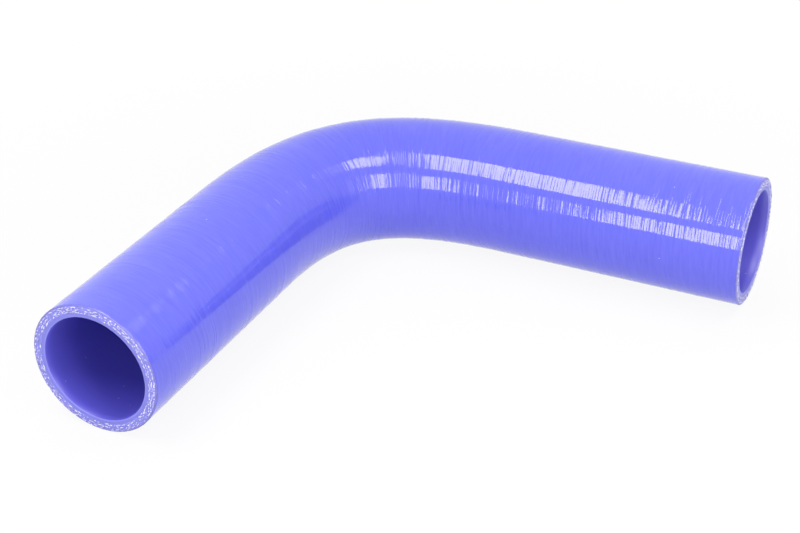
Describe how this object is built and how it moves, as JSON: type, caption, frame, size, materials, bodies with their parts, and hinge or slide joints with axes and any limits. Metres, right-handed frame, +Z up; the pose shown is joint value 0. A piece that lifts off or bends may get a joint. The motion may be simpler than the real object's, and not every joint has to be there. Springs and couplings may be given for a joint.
{
  "type": "coolant hose coupler",
  "caption": "Right-angle silicone hose coupler: two straight open legs joined by an eased bend, with square-cut ends that slip over coolant pipe stubs.",
  "frame": {"origin": "on the surface that the hose lies on, in the middle of its outline seen from above", "axes": "+Z up from that surface; leg A points along -Y and leg B along +X, with both bores' axes in one level plane"},
  "size_m": [0.2278, 0.2278, 0.0558],
  "materials": {
    "silicone": "gloss",
    "yarn": "matte"
  },
  "bodies": {
    "root": {"elbow_hose": "silicone"}
  },
  "joints": []
}
